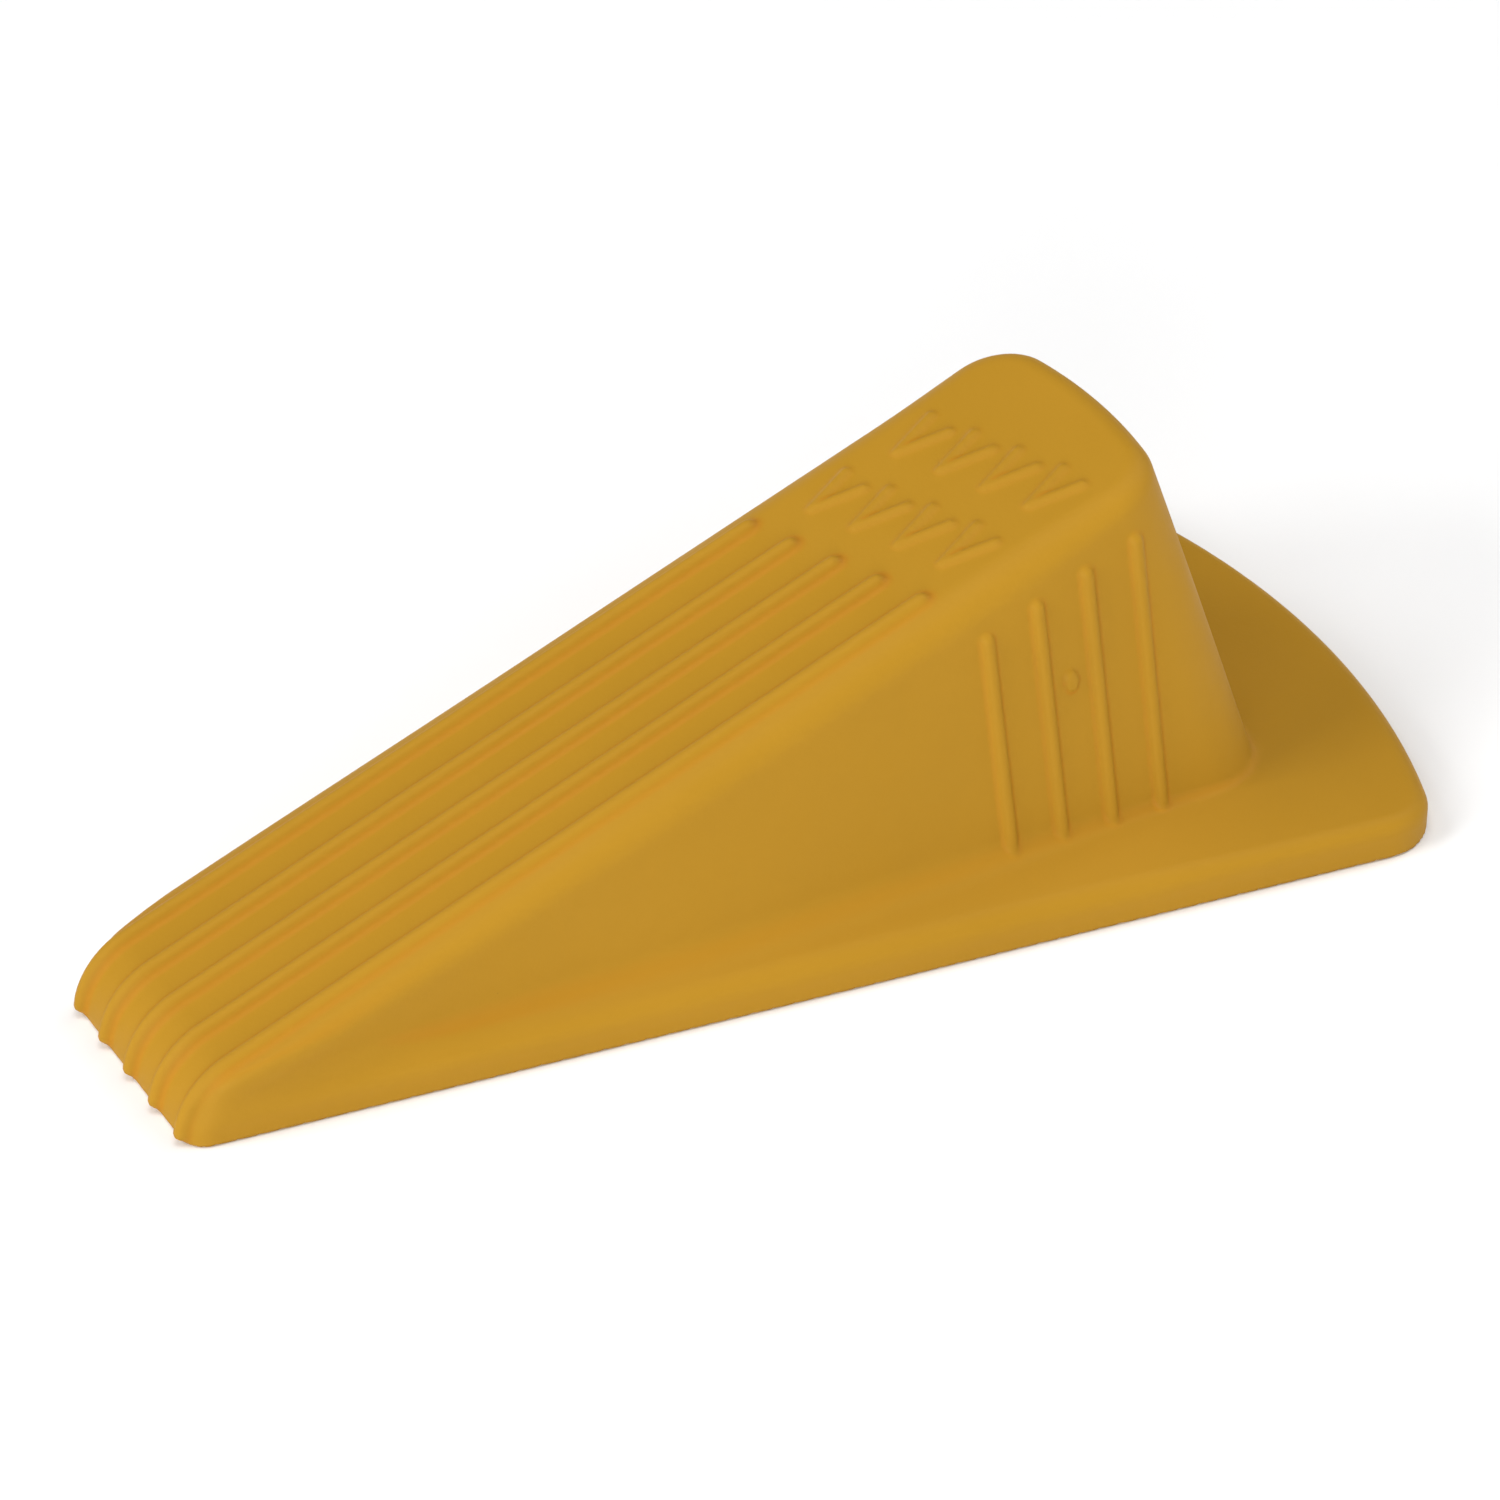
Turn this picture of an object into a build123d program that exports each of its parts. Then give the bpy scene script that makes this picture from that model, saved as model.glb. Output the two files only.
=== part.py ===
from build123d import *

import os
from math import asin, atan, atan2, cos, degrees, hypot, radians, sin, tan

# A one-piece moulded rubber door wedge. The thin nose slides under a door, the ribbed ramp grips the
# door's lower edge, and a flat foot flares out beside and behind the block.
# Millimetres. +Z is up, the nose points to -Y, and the origin is the middle of the base's box.
# Places along the wedge are first worked out as distances from the nose tip, then moved by nose_tip.

os.makedirs("parts", exist_ok=True)

# ---- driving dimensions ------------------------------------------------------------------------
length = 171.45
width = 88.9

# ramp
ramp_slope = 0.325
ramp_height_at_nose = 6.7
nose_rounding = 9.8
nose_setback = 1.12
ramp_edge_rounding = 3.4

# block, above the foot: its side walls flare towards the heel and lean in towards the top
wall_at_nose = 18.9
wall_flare = 0.072
wall_lean = 0.197
rear_wall_radius = 85.5
rear_wall_draft = 16.7
rear_corner_rounding = 9.4

# foot: skirt beside the block and heel plate behind it; its plate starts inside the block
foot_start = 8.0
foot_half_width_at_nose = 15.72
foot_thickness = 5.35
foot_edge_rounding = 2.1
nose_corner_rounding = 3.0
heel_corner_rounding = 7.42
heel_radius = 103.3
heel_corner_place = 155.92

# five ribs that start just above the floor, run over the nose and up the ramp
ramp_rib_count = 5
ramp_rib_pitch = 6.87
ramp_rib_radius = 1.0
ramp_rib_height = 1.2
ramp_rib_start = 1.6
ramp_rib_end = 100.4
ramp_rib_end_step = 2.03

# four upright ribs on each side
side_rib_count = 4
side_rib_pitch = 7.17
side_rib_first = 109.6
side_rib_width = 1.5
side_rib_height = 0.65
side_rib_rounding = 0.6
side_rib_root = 1.5
side_rib_foot = 5.1
side_rib_below_ramp = 5.2

# ring left by the moulding's gate, on one side only
gate_from_nose = 120.3
gate_height = 27.4
gate_radius = 1.1
gate_rise = 0.3
gate_dimple_radius = 0.5

# raised chevrons on the upper ramp
chevron_rows = 2
chevron_columns = 4
chevron_first_row = 109.0
chevron_row_pitch = 12.5
chevron_pitch = 6.87
chevron_half_width = 2.1
chevron_reach = 6.6
chevron_stroke = 1.5
chevron_rise = 0.4

# ---- derived places ----------------------------------------------------------------------------
nose_tip = -length / 2
heel_tip = length / 2
nose_face = nose_tip + nose_setback
heel_centre = heel_tip - heel_radius
foot_flare = (width / 2 - foot_half_width_at_nose) / heel_corner_place
ramp_angle = degrees(atan(ramp_slope))
nose_centre = (
    nose_face + nose_rounding,
    ramp_height_at_nose + ramp_slope * nose_setback - nose_rounding * tan(radians(90 - ramp_angle) / 2),
)
bar_bend = nose_rounding - ramp_rib_radius + ramp_rib_height
bar_lift = degrees(asin((ramp_rib_start - nose_centre[1]) / bar_bend))
row_slant = ramp_rib_end_step / ramp_rib_pitch
chevron_arm = hypot(chevron_half_width, chevron_reach)
chevron_turn = degrees(atan2(chevron_reach, chevron_half_width))
under_floor = 12.0
sky = 70.0
ramp_plane = Plane(
    origin=(0, nose_tip, ramp_height_at_nose),
    x_dir=(1, 0, 0),
    z_dir=(0, -sin(radians(ramp_angle)), cos(radians(ramp_angle))),
)


def ramp_z(from_nose):
    """Height of the ramp at a distance from the nose tip."""
    return ramp_height_at_nose + ramp_slope * from_nose


def bar_z(from_nose):
    """Height of a ramp rib's centre line, which runs just inside the ramp."""
    return ramp_z(from_nose) - (ramp_rib_radius - ramp_rib_height) / cos(radians(ramp_angle))


def wall_x(from_nose, z):
    """Half width of the block between its two flat side walls."""
    return wall_at_nose + wall_flare * from_nose - wall_lean * z


def is_rear_corner(edge):
    """True for the two leaning edges where a side wall meets the rear wall."""
    return edge.center().Y > 0 and abs(edge.tangent_at(0.5).Z) > 0.7


with BuildSketch() as foot_outline:
    nose_half = foot_half_width_at_nose + foot_flare * nose_setback
    heel_half = foot_half_width_at_nose + foot_flare * length
    Polygon(
        (-nose_half, nose_face),
        (nose_half, nose_face),
        (heel_half, heel_tip),
        (-heel_half, heel_tip),
        align=None,
    )
    with Locations((0, heel_centre)):
        Circle(heel_radius, mode=Mode.INTERSECT)
    fillet(foot_outline.vertices().group_by(Axis.Y)[0], nose_corner_rounding)
    left_to_right = foot_outline.vertices().sort_by(Axis.X)
    fillet([left_to_right[0], left_to_right[-1]], heel_corner_rounding)

with BuildPart() as foot:
    with BuildSketch():
        add(foot_outline.sketch)
    extrude(amount=foot_thickness)
    fillet(foot.edges().group_by(Axis.Z)[-1], foot_edge_rounding)
    split(bisect_by=Plane(origin=(0, nose_tip + foot_start, 0), z_dir=(0, 1, 0)), keep=Keep.TOP)


def side_rib(from_nose, side):
    """Upright rib on one side wall (side is 1 for +X), a rounded bar rooted in the block."""
    top_z = ramp_z(from_nose) - side_rib_below_ramp
    low = Vector(side * wall_x(from_nose, side_rib_foot), nose_tip + from_nose, side_rib_foot)
    high = Vector(side * wall_x(from_nose, top_z), nose_tip + from_nose, top_z)
    up_wall = high - low
    outward = Vector(side * up_wall.Z, 0, -side * up_wall.X)
    with BuildPart() as rib:
        rib_plane = Plane(origin=(low + high) / 2, x_dir=up_wall, z_dir=outward)
        with BuildSketch(rib_plane.offset(-side_rib_root)):
            SlotCenterToCenter(up_wall.length, side_rib_width)
        extrude(amount=side_rib_root + side_rib_height)
        outer_face = rib.faces().sort_by(Axis.X)[-1 if side > 0 else 0]
        fillet(outer_face.edges(), side_rib_rounding)
    return rib.part


side_ribs = []
for rib_number in range(side_rib_count):
    for side in (-1, 1):
        side_ribs.append(side_rib(side_rib_first + rib_number * side_rib_pitch, side))

with BuildPart() as wedge_body:
    # Block: the side profile with its blunt nose, cut down to its two leaning side walls.
    with BuildSketch(Plane.YZ):
        Polygon(
            (nose_face, -under_floor),
            (nose_face, ramp_z(nose_face - nose_tip)),
            (heel_tip, ramp_z(length)),
            (heel_tip, -under_floor),
            align=None,
        )
    extrude(amount=width / 2, both=True)
    nose_edge = wedge_body.edges().filter_by(Axis.X).group_by(Axis.Y)[0].sort_by(Axis.Z)[-1]
    fillet(nose_edge, nose_rounding)
    for side in (-1, 1):
        outward = (side, -wall_flare, wall_lean)
        wall_plane = Plane(origin=(side * wall_at_nose, nose_tip, 0), z_dir=outward)
        split(bisect_by=wall_plane, keep=Keep.BOTTOM)

    # Rear wall: part of a cone, so that it bows out behind and leans forward.
    with BuildSketch(Plane.XY.offset(-under_floor)):
        with Locations((0, heel_centre)):
            Circle(rear_wall_radius + under_floor * tan(radians(rear_wall_draft)))
    extrude(amount=sky + under_floor, taper=rear_wall_draft, mode=Mode.INTERSECT)
    fillet(wedge_body.edges().filter_by(is_rear_corner), rear_corner_rounding)

    # One soft rounding right round the ramp.
    ramp_face = wedge_body.faces().filter_by(lambda f: f.is_planar and f.normal_at().Z > 0.5)
    fillet(ramp_face.edges(), ramp_edge_rounding)

    # The foot's outline also bounds the block, which it narrows a little at the nose.
    with BuildSketch(Plane.XY.offset(-under_floor)):
        add(foot_outline.sketch)
    extrude(amount=sky + under_floor, mode=Mode.INTERSECT)

    add(foot.part)

    # Ramp ribs: round bars half sunk in the surface, from just above the floor, round the nose and up
    # the ramp, with rounded ends. The row of upper ends is slanted.
    for rib in range(ramp_rib_count):
        place = rib - (ramp_rib_count - 1) / 2
        end = ramp_rib_end + ramp_rib_end_step * place
        across = place * ramp_rib_pitch
        with BuildLine(Plane.YZ.offset(across)) as bar_line:
            round_nose = CenterArc(nose_centre, bar_bend, 180 - bar_lift, bar_lift + ramp_angle - 90)
            Line(round_nose @ 1, Vector(across, nose_tip + end, bar_z(end)))
        with BuildSketch(bar_line.line ^ 0):
            Circle(ramp_rib_radius)
        sweep(path=bar_line.line)
        with Locations(bar_line.line @ 0, bar_line.line @ 1):
            Sphere(ramp_rib_radius)

    add(side_ribs)

    # Gate ring, between two of the ribs on the +X side.
    gate_place = (wall_x(gate_from_nose, gate_height), nose_tip + gate_from_nose, gate_height)
    gate_plane = Plane(origin=gate_place, z_dir=(1, -wall_flare, wall_lean))
    with BuildSketch(gate_plane.offset(-gate_rise)):
        Circle(gate_radius)
    extrude(amount=2 * gate_rise)
    with BuildSketch(gate_plane.offset(-gate_rise / 2)):
        Circle(gate_dimple_radius)
    extrude(amount=2 * gate_rise, mode=Mode.SUBTRACT)

    # Raised chevrons that point to the nose, in rows slanted like the ribs' ends.
    with BuildSketch(ramp_plane.offset(-chevron_rise)):
        for row in range(chevron_rows):
            for column in range(chevron_columns):
                across = (column - (chevron_columns - 1) / 2) * chevron_pitch
                from_nose = chevron_first_row + row * chevron_row_pitch + across * row_slant
                up_ramp = from_nose / cos(radians(ramp_angle))
                for side in (-1, 1):
                    with Locations((across + side * chevron_half_width / 2, up_ramp)):
                        SlotCenterToCenter(chevron_arm, chevron_stroke, rotation=side * chevron_turn)
    extrude(amount=2 * chevron_rise)

    split(bisect_by=Plane.XY, keep=Keep.TOP)

wedge_body.part.label = "wedge_body"
export_step(wedge_body.part, "parts/wedge_body.step")
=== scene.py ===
from math import atan, cos, radians, sin

import bpy
import numpy as np
from mathutils import Matrix, Vector


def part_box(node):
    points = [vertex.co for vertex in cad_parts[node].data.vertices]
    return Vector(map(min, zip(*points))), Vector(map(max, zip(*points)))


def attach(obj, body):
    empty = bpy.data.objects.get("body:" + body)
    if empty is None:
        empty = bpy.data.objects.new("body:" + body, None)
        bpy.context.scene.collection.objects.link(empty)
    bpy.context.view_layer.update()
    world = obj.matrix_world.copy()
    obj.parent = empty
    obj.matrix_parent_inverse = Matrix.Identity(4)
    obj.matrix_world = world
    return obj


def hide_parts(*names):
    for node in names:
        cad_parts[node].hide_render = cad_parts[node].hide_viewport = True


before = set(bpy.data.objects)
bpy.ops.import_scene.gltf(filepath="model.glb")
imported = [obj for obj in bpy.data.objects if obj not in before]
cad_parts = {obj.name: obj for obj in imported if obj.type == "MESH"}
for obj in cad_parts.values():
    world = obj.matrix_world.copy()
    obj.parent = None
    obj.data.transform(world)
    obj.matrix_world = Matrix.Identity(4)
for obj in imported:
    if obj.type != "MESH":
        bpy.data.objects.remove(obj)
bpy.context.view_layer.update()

scene = bpy.context.scene
scene.view_settings.view_transform = "Standard"

# ---- the wedge's dimensions, in millimetres ------------------------------------------------------
# The field below works with y measured from the nose tip, like the CAD's own dimensions. The ribs'
# foremost points are a little behind that tip.
# Pairs are the places or heights between which something changes smoothly. A name with _TO_ is the
# dot product of two faces' normals, for the rounding between them.
low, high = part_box("wedge_body")
RIBS_BEHIND_TIP = 0.064
NOSE_TIP = low.y * 1000 - RIBS_BEHIND_TIP
LENGTH = high.y * 1000 - NOSE_TIP
WIDTH = (high.x - low.x) * 1000
REAR_FROM = 60  # the rear wall and the heel's arc bound only what lies behind this place
NOT_HERE = -99.0  # distance given to a face where it bounds nothing

# ramp, with its blunt nose's upright face and the rounding between the two
SLOPE = 0.325
RAMP_AT_NOSE = 6.6
NOSE_FACE = 1.12
NOSE_ROUNDING = 9.8

# rounding of the ramp's edge: at the nose, along the sides, and behind
NOSE_EDGE_ROUNDING = 3.8
EDGE_ROUNDING = 4.9
REAR_EDGE_ROUNDING = 3.0
SIDE_EDGE_GROWS = (15, 70)
REAR_EDGE_BEGINS = (116, 132)
RAMP_TO_WALL = 0.2
RAMP_TO_WALL_DROP = 0.15

# side walls: half widths at the floor and at the ramp
WALL_AT_FLOOR = 16.3
WALL_FLARE = 0.094
WALL_BULGE = 1.6
WALL_BULGE_GROWS = (30, 80)
WALL_BULGE_FADES = (100, 150)
WALL_NOSE_RECESS = 1.3
WALL_NOSE_RECESS_FADES = (10, 70)
WALL_AT_RAMP = 18.2
WALL_TAPER_AT_RAMP = 0.001
WALL_LEAN = 0.975  # distance from the leaning wall over distance straight out

# rear wall
REAR_CENTRE = 68.15
REAR_RADIUS = 85.2
REAR_LEAN = 0.3
REAR_CORNER = 9.4
REAR_TO_WALL = 0.27

# foot: its outline, its rims, and the ledge that rises softly to the walls
FOOT_AT_NOSE = 15.72
FOOT_THICKNESS = 5.35
FOOT_EDGE_ROUNDING = 2.4
FOOT_EDGE_BEGINS = (110, 140)
FOOT_BOTTOM_ROUNDING = 0.35
BODY_TO_OUTLINE = 0.1
BODY_TO_OUTLINE_GAIN = 0.45
BODY_TO_OUTLINE_HEIGHTS = (5.4, 13.4)
NOSE_CORNER = 3.0
HEEL_CORNER = 7.42
HEEL_CORNER_PLACE = 155.92
HEEL_RADIUS = 103.3
HEEL_TO_SIDE = 0.24
FOOT_BLEND = 3.0
HEEL_BLEND = 0.9
HEEL_BLEND_BEGINS = (90, 150)
LEDGE_SLOPE = 0.24
LEDGE_INSET = 1
LEDGE_REACH = 12
LEDGE_FADES = (95, 175)

# five ribs round the nose and up the ramp
RIB_COUNT = 5
RIB_PITCH = 6.87
RIB_RADIUS = 0.95
RIB_RISE = 1.15
RIB_START = 1.6
RIB_END = 99.5
RIB_END_STEP = 2.03
RIB_END_TAPER = 0.8
RIB_BLEND = 0.95

# four upright ribs on each side
SIDE_RIB_COUNT = 4
SIDE_RIB_FIRST = 109.6
SIDE_RIB_PITCH = 7.17
SIDE_RIB_RADIUS = 0.95
SIDE_RIB_RISE = 0.85
SIDE_RIB_FOOT = 5.2
SIDE_RIB_BELOW_RAMP = 6.4
SIDE_RIB_BLEND = 0.4

# pad left by the moulding's gate
GATE_PLACE = 120.3
GATE_HEIGHT = 27.4
GATE_PAD = 1.0
GATE_NARROWING = 1.5
GATE_RISE = 0.5
GATE_BLEND = 0.3

# raised chevrons on the upper ramp
CHEVRON_ROWS = 2
CHEVRON_COLUMNS = 4
CHEVRON_FIRST_ROW = 109.0
CHEVRON_ROW_PITCH = 12.5
CHEVRON_HALF_WIDTH = 2.1
CHEVRON_REACH = 6.6
CHEVRON_STROKE = 0.75
CHEVRON_RISE = 0.5
CHEVRON_BLEND = 0.5

# meshing grid, as (start, end, spacing): finer along y at the nose, the side ribs and the chevrons
GRID_X = [(-45.3, 45.3, 0.49)]
GRID_Y = [(-0.9, 14, 0.42), (14, 96, 0.94), (96, 142, 0.45), (142, 172.4, 0.85)]
GRID_Z = [(-0.9, 52.0, 0.43)]
RELAX_ROUNDS = 3
RELAX_SHARE = 0.5
LONGEST_STEP = 0.4
SHORTEST_GRADIENT = 0.1
UNDERSIDE_HEIGHT = 0.01

# A crease is where a point at CREASE_REACH out from the surface has the surface nearer than that;
# creases get painted shade.
CREASE_REACH = 0.5
CREASE_FROM = 0.08
CREASE_RANGE = 0.3
CREASE_MOST = 0.7

ramp_angle = atan(SLOPE)
rc, rs = cos(ramp_angle), sin(ramp_angle)
foot_flare = (WIDTH / 2 - FOOT_AT_NOSE) / HEEL_CORNER_PLACE
foot_norm = (1 + foot_flare**2) ** 0.5
heel_y = LENGTH - HEEL_RADIUS


# ---- distance fields -----------------------------------------------------------------------------
def rounded(a, b, r, c=0.0):
    """Meet of faces at distances a and b, rounded to radius r; c is their normals' dot product."""
    p, q = a + r, b + r
    corner = np.sqrt(np.maximum(p * p + q * q - 2 * c * p * q, 0) / (1 - c * c))
    return np.where((p > c * q) & (q > c * p), corner, np.maximum(p, q)) - r


def joined(a, b, k):
    """Union with a soft blend of reach k where the two meet."""
    h = np.maximum(k - np.abs(a - b), 0) / k
    return np.minimum(a, b) - h * h * k / 4


def eased(t, start, end):
    """0 up to start, 1 from end on, and a smooth rise between them."""
    t = np.clip((t - start) / (end - start), 0, 1)
    return t * t * (3 - 2 * t)


def profile(y, z):
    """Signed distance outside the side profile: the blunt nose and the ramp."""
    above_ramp = (z - RAMP_AT_NOSE - SLOPE * y) * rc
    return rounded(NOSE_FACE - y, above_ramp, NOSE_ROUNDING, rs)


def side_wall(x, y, z):
    """Signed distance outside the side walls, which lean out at the nose and in further back."""
    bulge = WALL_BULGE * eased(y, *WALL_BULGE_GROWS) * (1 - eased(y, *WALL_BULGE_FADES))
    at_floor = WALL_AT_FLOOR + WALL_FLARE * y + bulge
    at_floor = at_floor - WALL_NOSE_RECESS * (1 - eased(y, *WALL_NOSE_RECESS_FADES))
    at_ramp = WALL_AT_RAMP - WALL_TAPER_AT_RAMP * y
    share = z / (RAMP_AT_NOSE + SLOPE * np.maximum(y, 0))
    return (np.abs(x) - at_floor - (at_ramp - at_floor) * share) * WALL_LEAN


def rear_wall(x, y, z):
    """Signed distance outside the rear wall, part of a cone."""
    rear = np.sqrt(x * x + (y - REAR_CENTRE) ** 2) - REAR_RADIUS + REAR_LEAN * z
    return np.where(y > REAR_FROM, rear / (1 + REAR_LEAN**2) ** 0.5, NOT_HERE)


def foot_plan(x, y):
    """Signed distance outside the foot's outline: flared sides and a round heel."""
    sides = (np.abs(x) - FOOT_AT_NOSE - foot_flare * y) / foot_norm
    heel = np.sqrt(x * x + (y - heel_y) ** 2) - HEEL_RADIUS
    return rounded(sides, np.where(y > REAR_FROM, heel, NOT_HERE), HEEL_CORNER, HEEL_TO_SIDE)


def block_and_foot(x, y, z, ramp, wall):
    """Signed distance outside the plain wedge, without its raised marks."""
    around = rounded(wall, rear_wall(x, y, z), REAR_CORNER, REAR_TO_WALL)

    # The foot: softly blended into the side walls, and more tightly towards the heel.
    blend = FOOT_BLEND + (HEEL_BLEND - FOOT_BLEND) * eased(y, *HEEL_BLEND_BEGINS)
    inside = np.clip(FOOT_AT_NOSE + foot_flare * y - np.abs(x) - LEDGE_INSET, 0, LEDGE_REACH)
    rise = LEDGE_SLOPE * (1 - eased(y, *LEDGE_FADES)) * inside
    body = joined(around, z - FOOT_THICKNESS - rise, blend)

    towards_rear = eased(y, *REAR_EDGE_BEGINS)
    edge = NOSE_EDGE_ROUNDING + (EDGE_ROUNDING - NOSE_EDGE_ROUNDING) * eased(y, *SIDE_EDGE_GROWS)
    edge = edge + (REAR_EDGE_ROUNDING - edge) * towards_rear
    body = rounded(body, ramp, edge, RAMP_TO_WALL - RAMP_TO_WALL_DROP * towards_rear)

    rim = NOSE_CORNER + (FOOT_EDGE_ROUNDING - NOSE_CORNER) * eased(y, *FOOT_EDGE_BEGINS)
    turn = BODY_TO_OUTLINE + BODY_TO_OUTLINE_GAIN * eased(z, *BODY_TO_OUTLINE_HEIGHTS)
    return rounded(body, foot_plan(x, y), rim, turn)


def field(x, y, z):
    """Signed distance outside the wedge."""
    ramp = profile(y, z)
    wall = side_wall(x, y, z)
    body = block_and_foot(x, y, z, ramp, wall)

    # Bars round the nose and up the ramp; v is the place along the ramp.
    v = y * rc + (z - RAMP_AT_NOSE) * rs
    for n in range(RIB_COUNT):
        place = n - (RIB_COUNT - 1) / 2
        end = (RIB_END + RIB_END_STEP * place) / rc
        past = np.maximum(v - end, 0) * RIB_END_TAPER + np.maximum(RIB_START - z, 0)
        depth = ramp - (RIB_RISE - RIB_RADIUS)
        bar = np.sqrt((x - place * RIB_PITCH) ** 2 + depth**2 + past**2) - RIB_RADIUS
        body = joined(body, bar, RIB_BLEND)

    # Upright bars on both side walls.
    for n in range(SIDE_RIB_COUNT):
        place = SIDE_RIB_FIRST + n * SIDE_RIB_PITCH
        top = RAMP_AT_NOSE + SLOPE * place - SIDE_RIB_BELOW_RAMP
        past = np.maximum(z - top, 0) + np.maximum(SIDE_RIB_FOOT - z, 0)
        depth = wall - (SIDE_RIB_RISE - SIDE_RIB_RADIUS)
        bar = np.sqrt((y - place) ** 2 + depth**2 + past**2) - SIDE_RIB_RADIUS
        body = joined(body, bar, SIDE_RIB_BLEND)

    # The gate's pad, on one side only.
    from_pad = np.sqrt((GATE_NARROWING * (y - GATE_PLACE)) ** 2 + (z - GATE_HEIGHT) ** 2)
    pad = np.sqrt(np.maximum(from_pad - GATE_PAD, 0) ** 2 + wall**2) - GATE_RISE
    body = np.where(x > 0, joined(body, pad, GATE_BLEND), body)

    # Chevrons, in rows slanted like the bars' ends. Each is one arm and its mirror image, so px
    # and py are measured from its point, and t is the place along the arm.
    arm_squared = CHEVRON_HALF_WIDTH**2 + CHEVRON_REACH**2
    for row in range(CHEVRON_ROWS):
        for column in range(CHEVRON_COLUMNS):
            across = (column - (CHEVRON_COLUMNS - 1) / 2) * RIB_PITCH
            slant = across * RIB_END_STEP / RIB_PITCH
            along = (CHEVRON_FIRST_ROW + row * CHEVRON_ROW_PITCH + slant) / rc
            px = np.abs(x - across)
            py = v - along + CHEVRON_REACH / 2
            t = np.clip((px * CHEVRON_HALF_WIDTH + py * CHEVRON_REACH) / arm_squared, 0, 1)
            off = (px - t * CHEVRON_HALF_WIDTH) ** 2 + (py - t * CHEVRON_REACH) ** 2
            depth = ramp - CHEVRON_RISE + CHEVRON_STROKE
            stroke = np.sqrt(off + depth**2) - CHEVRON_STROKE
            body = joined(body, stroke, CHEVRON_BLEND)

    return rounded(body, -z, FOOT_BOTTOM_ROUNDING)


# ---- meshing -------------------------------------------------------------------------------------
def grid_lines(runs):
    """Grid lines from runs of (start, end, spacing)."""
    lines = [np.linspace(a, b, max(round((b - a) / d), 1), endpoint=False) for a, b, d in runs]
    return np.concatenate(lines + [[runs[-1][1]]])


def sample(xs, ys, zs):
    """The field on the grid, one slice of x at a time."""
    out = np.empty((len(xs), len(ys), len(zs)), dtype=np.float32)
    y, z = np.meshgrid(ys, zs, indexing="ij")
    for i, x in enumerate(xs):
        out[i] = field(np.full_like(y, x), y, z)
    return out


def surface_mesh(xs, ys, zs):
    """Quads round the zero surface of the field: one point in each cell that it passes through."""
    values = sample(xs, ys, zs)
    lines = (xs, ys, zs)
    cells = np.array(values.shape) - 1
    stride = np.array([cells[1] * cells[2], cells[2], 1])
    quads, owners, points = [], [], []
    for axis in range(3):
        # Grid edges along this axis that the surface crosses, and where it crosses them.
        first = [slice(None)] * 3
        second = [slice(None)] * 3
        first[axis], second[axis] = slice(None, -1), slice(1, None)
        a, b = values[tuple(first)], values[tuple(second)]
        hit = np.argwhere((a < 0) != (b < 0))
        fa, fb = a[tuple(hit.T)], b[tuple(hit.T)]
        t = fa / (fa - fb)
        spot = np.stack([lines[k][hit[:, k]] for k in range(3)], axis=1).astype(float)
        spot[:, axis] += t * (lines[axis][hit[:, axis] + 1] - lines[axis][hit[:, axis]])

        # The four cells round each such edge make a quad, turned to face outward.
        u, w = (axis + 1) % 3, (axis + 2) % 3
        ring = []
        for du, dw in ((-1, -1), (0, -1), (0, 0), (-1, 0)):
            cell = hit.copy()
            cell[:, u] += du
            cell[:, w] += dw
            ring.append(cell @ stride)
        ring = np.stack(ring, axis=1)
        owners.append(ring.ravel())
        points.append(np.repeat(spot, 4, axis=0))
        ring[fa >= 0] = ring[fa >= 0][:, ::-1]
        quads.append(ring)

    # Each cell's point is the middle of the crossings on its edges.
    owners, points, quads = np.concatenate(owners), np.concatenate(points), np.concatenate(quads)
    names, where = np.unique(owners, return_inverse=True)
    count = np.bincount(where)
    verts = np.stack([np.bincount(where, points[:, k]) / count for k in range(3)], axis=1)
    return verts, np.searchsorted(names, quads)


def gradient(p, h=0.03):
    """The field's gradient at points p, from differences over h to each side."""
    parts = []
    for k in range(3):
        d = np.zeros(3)
        d[k] = h
        parts.append(field(*(p + d).T) - field(*(p - d).T))
    return np.stack(parts, axis=1) / (2 * h)


def settle(p):
    """Moves points onto the surface along the field's gradient, in two steps."""
    least_squared = 0.25  # least squared length of the gradient, so that no step is far too long
    for _ in range(2):
        g = gradient(p)
        squared = (g * g).sum(axis=1, keepdims=True)
        step = field(*p.T)[:, None] * g / np.maximum(squared, least_squared)
        p = p - np.clip(step, -LONGEST_STEP, LONGEST_STEP)
    return p


def relax(p, quads, share):
    """Moves each point towards the middle of its neighbours, which evens out the quads."""
    a = quads.ravel()
    b = np.roll(quads, -1, axis=1).ravel()
    count = np.bincount(a, minlength=len(p)) + np.bincount(b, minlength=len(p))
    total = [np.bincount(a, p[b, k], len(p)) + np.bincount(b, p[a, k], len(p)) for k in range(3)]
    return p + share * (np.stack(total, axis=1) / count[:, None] - p)


verts, quads = surface_mesh(grid_lines(GRID_X), grid_lines(GRID_Y), grid_lines(GRID_Z))
verts = settle(verts)
for _ in range(RELAX_ROUNDS):
    verts = settle(relax(verts, quads, RELAX_SHARE))

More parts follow.
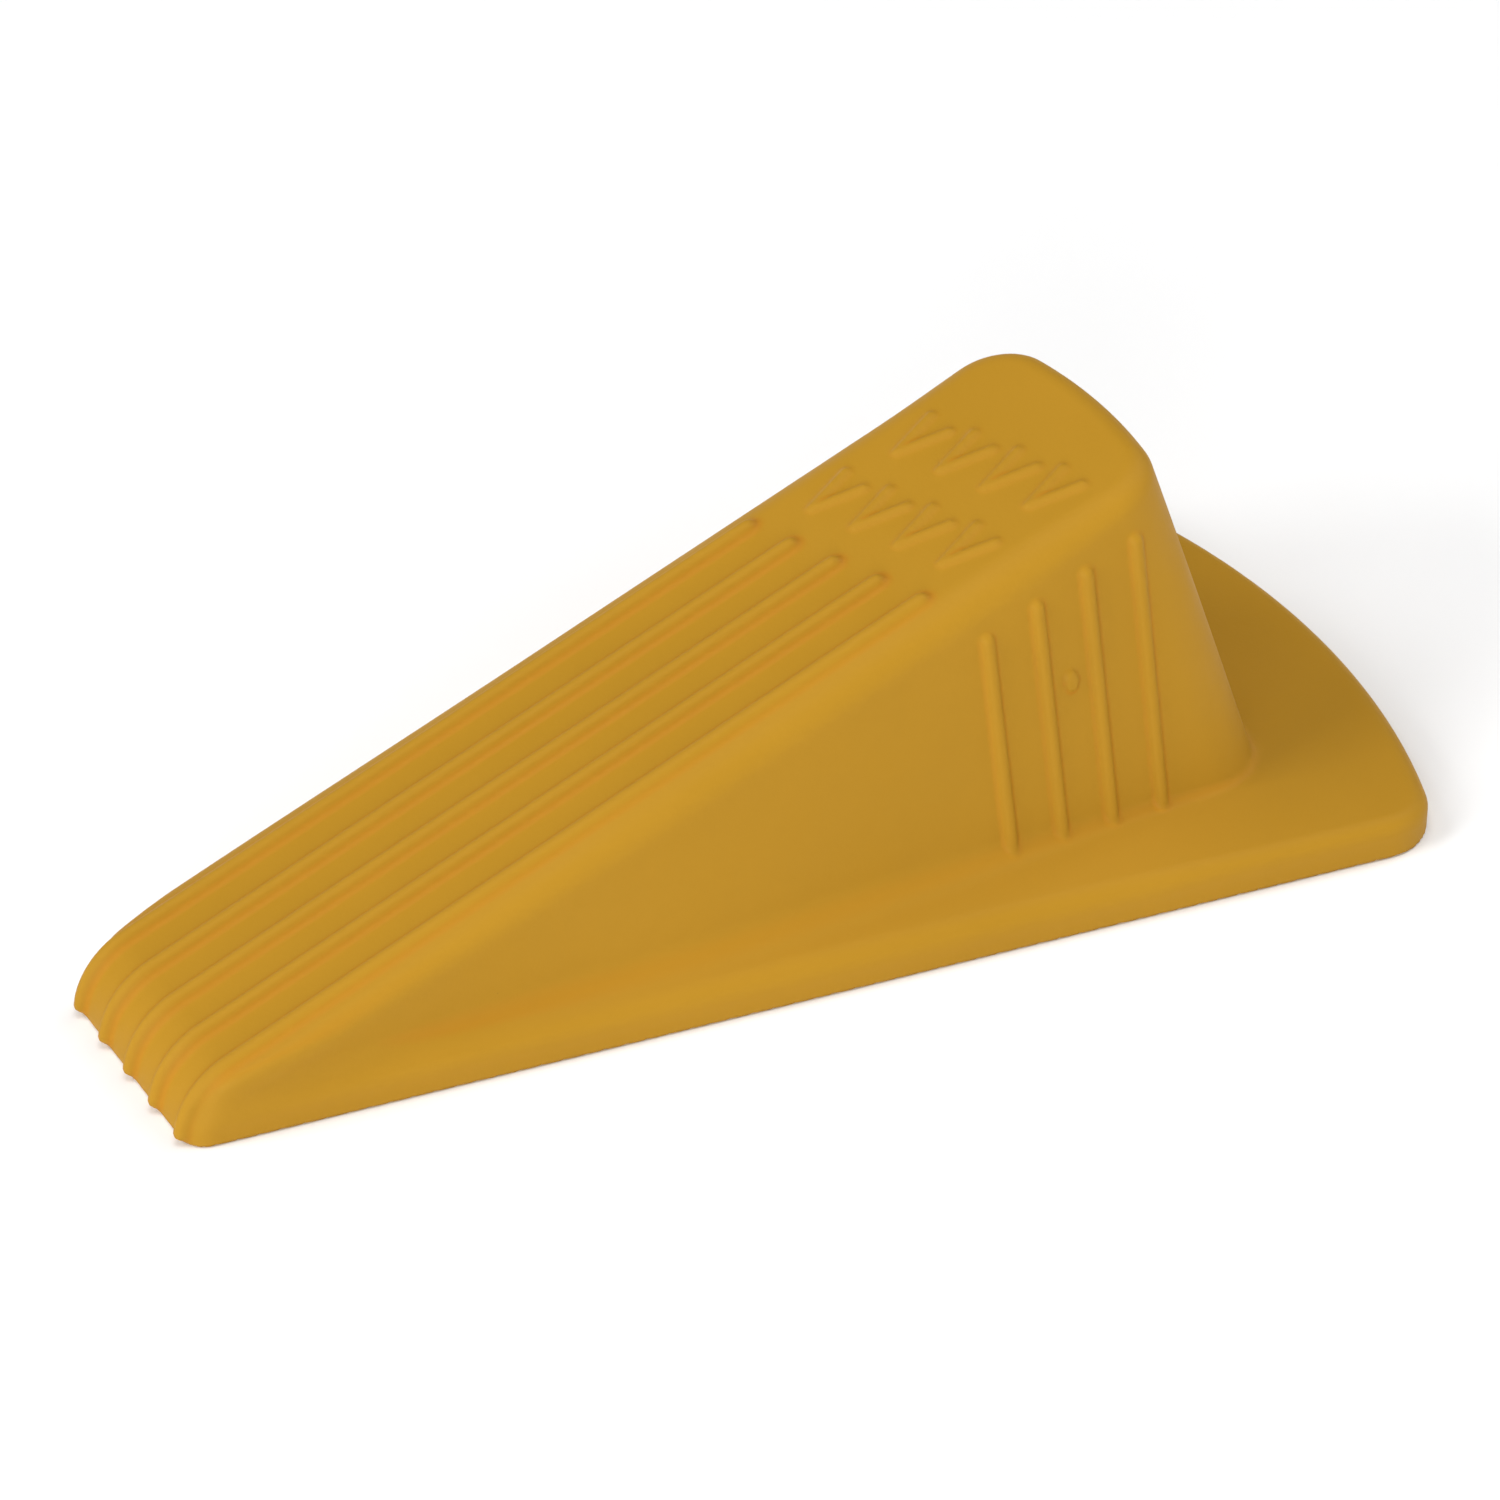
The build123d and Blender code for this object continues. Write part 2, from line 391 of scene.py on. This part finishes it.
# The underside is one flat face inside its rounded edge: its quads go, and the loop of edges that
# they leave open becomes one face.
on_floor = verts[:, 2] < UNDERSIDE_HEIGHT
verts[on_floor, 2] = 0
under = on_floor[quads].all(axis=1)
sides = quads[~under]
edges = {}
for quad in sides[on_floor[sides].any(axis=1)].tolist():
    for a, b in zip(quad, quad[1:] + quad[:1]):
        if (b, a) in edges:
            del edges[(b, a)]
        else:
            edges[(a, b)] = True
rim = {b: a for a, b in edges if on_floor[a] and on_floor[b]}
start = next(iter(rim))
floor_face, at = [start], rim[start]
while at != start:
    floor_face.append(at)
    at = rim[at]

used = np.unique(sides)
order = np.full(len(verts), -1)
order[used] = np.arange(len(used))
mesh = bpy.data.meshes.new("wedge")
places = (verts[used] + (0, NOSE_TIP, 0)) / 1000
mesh.from_pydata(places.tolist(), [], order[sides].tolist() + [order[floor_face].tolist()])
mesh.validate()
mesh.shade_smooth()
mesh.polygons[len(mesh.polygons) - 1].use_smooth = False
wedge = bpy.data.objects.new("rubber_wedge", mesh)
scene.collection.objects.link(wedge)

# How far each point sits in a crease, where painted shade makes the rubber look deeper and more
# orange in colour.
outward = gradient(verts[used])
outward /= np.maximum(np.linalg.norm(outward, axis=1, keepdims=True), SHORTEST_GRADIENT)
crease_shade = 1 - field(*(verts[used] + CREASE_REACH * outward).T) / CREASE_REACH
crease_shade = np.clip((crease_shade - CREASE_FROM) / CREASE_RANGE, 0, CREASE_MOST)
crease_shade_values = mesh.attributes.new("crease_shade", "FLOAT", "POINT").data
crease_shade_values.foreach_set("value", crease_shade.astype(np.float32))

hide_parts("wedge_body")
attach(wedge, "root")


# ---- materials -----------------------------------------------------------------------------------
def new_material(name):
    made = bpy.data.materials.new(name)
    made.use_nodes = True
    return made, made.node_tree.nodes, made.node_tree.links


def grey(value):
    return (value, value, value, 1)


def set_stops(ramp, first, last):
    """Gives a colour ramp its two stops, each (position, colour)."""
    ramp.elements[0].position, ramp.elements[0].color = first
    ramp.elements[1].position, ramp.elements[1].color = last


rubber, nodes, links = new_material("yellow_rubber")
shader = nodes["Principled BSDF"]
shader.inputs["IOR"].default_value = 1.5
shader.inputs["Specular IOR Level"].default_value = 0.12
coords = nodes.new("ShaderNodeTexCoord")


def noise(scale, detail, roughness=0.5):
    """Noise in the object's own space."""
    made = nodes.new("ShaderNodeTexNoise")
    made.inputs["Scale"].default_value = scale
    made.inputs["Detail"].default_value = detail
    made.inputs["Roughness"].default_value = roughness
    links.new(coords.outputs["Object"], made.inputs["Vector"])
    return made.outputs["Fac"]


def ramp_node(source, first, last):
    """Colour ramp on a value, between two stops."""
    made = nodes.new("ShaderNodeValToRGB")
    links.new(source, made.inputs["Fac"])
    set_stops(made.color_ramp, first, last)
    return made.outputs["Color"]


def mixed(factor, base, over):
    """A colour mixed over another by a factor."""
    made = nodes.new("ShaderNodeMix")
    made.data_type = "RGBA"
    links.new(factor, made.inputs["Factor"])
    links.new(base, made.inputs["A"])
    made.inputs["B"].default_value = over
    return made.outputs["Result"]


def bump(height, distance, strength):
    """Bump from a height; distance is in metres."""
    made = nodes.new("ShaderNodeBump")
    made.inputs["Distance"].default_value = distance
    made.inputs["Strength"].default_value = strength
    links.new(height, made.inputs["Height"])
    return made


# Colour: a slow drift between two close yellows.
YELLOW_DARK = (0.387, 0.199, 0.0120, 1)
YELLOW_LIGHT = (0.414, 0.213, 0.0135, 1)
SPECK = (0.16, 0.07, 0.02, 1)
# painted crease shade: the deeper orange mixed into creases in place of shade and bounced light
PAINTED_CREASE_SHADE = (0.44, 0.178, 0.010, 1)
color = ramp_node(noise(scale=22, detail=3), (0.3, YELLOW_DARK), (0.7, YELLOW_LIGHT))

# A few tiny dark specks of moulding dust: the dot at the middle of a rare cell.
RARE_CELL = 0.985
cells = nodes.new("ShaderNodeTexVoronoi")
cells.inputs["Scale"].default_value = 260
links.new(coords.outputs["Object"], cells.inputs["Vector"])
dot = ramp_node(cells.outputs["Distance"], (0.03, grey(1)), (0.06, grey(0)))
cell_value = nodes.new("ShaderNodeSeparateColor")
links.new(cells.outputs["Color"], cell_value.inputs["Color"])
rare = nodes.new("ShaderNodeMath")
rare.operation = "GREATER_THAN"
links.new(cell_value.outputs["Red"], rare.inputs[0])
rare.inputs[1].default_value = RARE_CELL
speck = nodes.new("ShaderNodeMath")
speck.operation = "MULTIPLY"
links.new(dot, speck.inputs[0])
links.new(rare.outputs["Value"], speck.inputs[1])
color = mixed(speck.outputs["Value"], color, SPECK)

# Painted shade in the creases: deeper, more orange colour, standing in for shade and light bounced
# between faces.
crease_shade_read = nodes.new("ShaderNodeAttribute")
crease_shade_read.attribute_name = "crease_shade"
color = mixed(crease_shade_read.outputs["Fac"], color, PAINTED_CREASE_SHADE)
links.new(color, shader.inputs["Base Color"])

# Finish: a satin skin, slightly uneven, with a very fine grain.
gloss = ramp_node(noise(scale=90, detail=4), (0.3, grey(0.5)), (0.7, grey(0.62)))
links.new(gloss, shader.inputs["Roughness"])
waves = bump(noise(scale=75, detail=2), distance=0.00035, strength=0.35)
grain = bump(noise(scale=1800, detail=3, roughness=0.6), distance=0.00004, strength=0.5)
links.new(waves.outputs["Normal"], grain.inputs["Normal"])
links.new(grain.outputs["Normal"], shader.inputs["Normal"])
mesh.materials.append(rubber)

# ---- studio --------------------------------------------------------------------------------------
# A white floor that ends before it gets dark in low views; the backdrop goes on from there.
FLOOR_HALF = 0.8
floor_mesh = bpy.data.meshes.new("floor")
corners = [(a * FLOOR_HALF, b * FLOOR_HALF, 0) for a, b in ((-1, -1), (1, -1), (1, 1), (-1, 1))]
floor_mesh.from_pydata(corners, [], [(0, 1, 2, 3)])
floor = bpy.data.objects.new("floor", floor_mesh)
scene.collection.objects.link(floor)
pale, floor_nodes, _ = new_material("studio_floor")
floor_inputs = floor_nodes["Principled BSDF"].inputs
floor_inputs["Base Color"].default_value = grey(0.92)
floor_inputs["Roughness"].default_value = 0.9
floor_inputs["Specular IOR Level"].default_value = 0.0
floor_mesh.materials.append(pale)

# The sky is dim overhead, so that the lamps model the shape, and white near the horizon.
world = bpy.data.worlds.new("studio")
scene.world = world
world.use_nodes = True
sky = world.node_tree.nodes
sky_links = world.node_tree.links
direction = sky.new("ShaderNodeTexCoord")
height = sky.new("ShaderNodeSeparateXYZ")
sky_links.new(direction.outputs["Generated"], height.inputs["Vector"])
backdrop = sky.new("ShaderNodeValToRGB")
sky_links.new(height.outputs["Z"], backdrop.inputs["Fac"])
set_stops(backdrop.color_ramp, (0.10, grey(1)), (0.22, grey(0.065)))
sky_links.new(backdrop.outputs["Color"], sky["Background"].inputs["Color"])
sky["Background"].inputs["Strength"].default_value = 1.0

LIGHT_TARGET = Vector((0, 0, 0.02))
LIGHT_DISTANCE = 1.3


def softbox(name, azimuth, elevation, size, power):
    """A square soft light aimed at the wedge; azimuth runs from -Y towards +X."""
    light = bpy.data.lights.new(name, "AREA")
    light.shape = "SQUARE"
    light.size = size
    light.energy = power
    a, e = radians(azimuth), radians(elevation)
    place = Vector((cos(e) * sin(a), -cos(e) * cos(a), sin(e))) * LIGHT_DISTANCE
    made = bpy.data.objects.new(name, light)
    made.location = place
    made.rotation_mode = "QUATERNION"
    made.rotation_quaternion = (LIGHT_TARGET - place).to_track_quat("-Z", "Y")
    scene.collection.objects.link(made)


softbox("nose_light", 0, 30, 0.45, 6.2)
softbox("far_side_light", -25, 50, 0.45, 4.1)
softbox("far_low_light", -90, 15, 0.7, 1.6)
softbox("near_side_light", 50, 15, 0.7, 8.3)
softbox("heel_side_light", 130, 15, 0.7, 3.0)
softbox("heel_light", 180, 45, 0.8, 5.7)
softbox("top_light", 60, 85, 0.8, 6.7)

# ---- camera --------------------------------------------------------------------------------------
azimuth, elevation, roll = radians(59.43), radians(37.454), radians(-0.436)
back = Vector((sin(azimuth) * cos(elevation), -cos(azimuth) * cos(elevation), sin(elevation)))
right = Vector((cos(azimuth), sin(azimuth), 0))
up = back.cross(right)
right, up = right * cos(roll) + up * sin(roll), up * cos(roll) - right * sin(roll)
camera_data = bpy.data.cameras.new("camera")
camera_data.sensor_width = 36
camera_data.lens = 129.83
camera_data.clip_start, camera_data.clip_end = 0.05, 20
camera = bpy.data.objects.new("camera", camera_data)
camera.rotation_mode = "QUATERNION"
camera.location = (0.461213, -0.270586, 0.425382)
camera.rotation_quaternion = Matrix((right, up, back)).transposed().to_quaternion()
scene.collection.objects.link(camera)
scene.camera = camera
